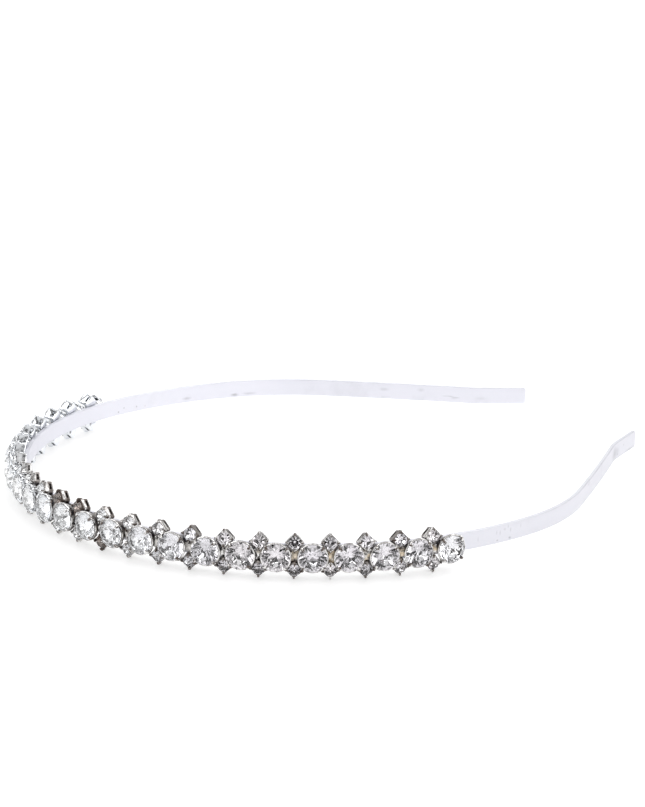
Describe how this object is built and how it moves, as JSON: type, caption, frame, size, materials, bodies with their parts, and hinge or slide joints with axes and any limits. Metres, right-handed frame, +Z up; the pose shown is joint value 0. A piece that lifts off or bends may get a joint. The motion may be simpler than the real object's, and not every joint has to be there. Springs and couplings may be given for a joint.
{
  "type": "crystal headband",
  "caption": "Flat metal hair band bent to the head, with a row of large round crystals in pronged cups, paired small crystals in square claw settings and outward-flicked tips.",
  "frame": {"origin": "middle of the whole thing's box seen from above, on the surface it lies on", "axes": "+Z up from the surface, across the band's width; +Y from the crown towards the two tips; +X towards the leg whose stones reach further"},
  "size_m": [0.1398, 0.1558, 0.0106],
  "materials": {
    "strip_metal": "polished silver-coloured plating on a flat steel strip",
    "setting_metal": "silver-coloured plating on thin stamped brass, warmer in the crevices",
    "crystal": "clear cut crystal with a foiled back"
  },
  "bodies": {
    "root": {"strip": "strip_metal", "large_cup_01": "setting_metal", "large_cup_02": "setting_metal", "large_cup_03": "setting_metal", "large_cup_04": "setting_metal", "large_cup_05": "setting_metal", "large_cup_06": "setting_metal", "large_cup_07": "setting_metal", "large_cup_08": "setting_metal", "large_cup_09": "setting_metal", "large_cup_10": "setting_metal", "large_cup_11": "setting_metal", "large_cup_12": "setting_metal", "large_cup_13": "setting_metal", "large_cup_14": "setting_metal", "large_cup_15": "setting_metal", "large_cup_16": "setting_metal", "large_cup_17": "setting_metal", "large_cup_18": "setting_metal", "large_cup_19": "setting_metal", "large_cup_20": "setting_metal", "large_cup_21": "setting_metal", "large_cup_22": "setting_metal", "large_cup_23": "setting_metal", "large_cup_24": "setting_metal", "large_cup_25": "setting_metal", "large_stone_01": "crystal", "large_stone_02": "crystal", "large_stone_03": "crystal", "large_stone_04": "crystal", "large_stone_05": "crystal", "large_stone_06": "crystal", "large_stone_07": "crystal", "large_stone_08": "crystal", "large_stone_09": "crystal", "large_stone_10": "crystal", "large_stone_11": "crystal", "large_stone_12": "crystal", "large_stone_13": "crystal", "large_stone_14": "crystal", "large_stone_15": "crystal", "large_stone_16": "crystal", "large_stone_17": "crystal", "large_stone_18": "crystal", "large_stone_19": "crystal", "large_stone_20": "crystal", "large_stone_21": "crystal", "large_stone_22": "crystal", "large_stone_23": "crystal", "large_stone_24": "crystal", "large_stone_25": "crystal", "upper_small_settings": "setting_metal", "lower_small_settings": "setting_metal", "upper_small_stones": "crystal", "lower_small_stones": "crystal"}
  },
  "joints": []
}
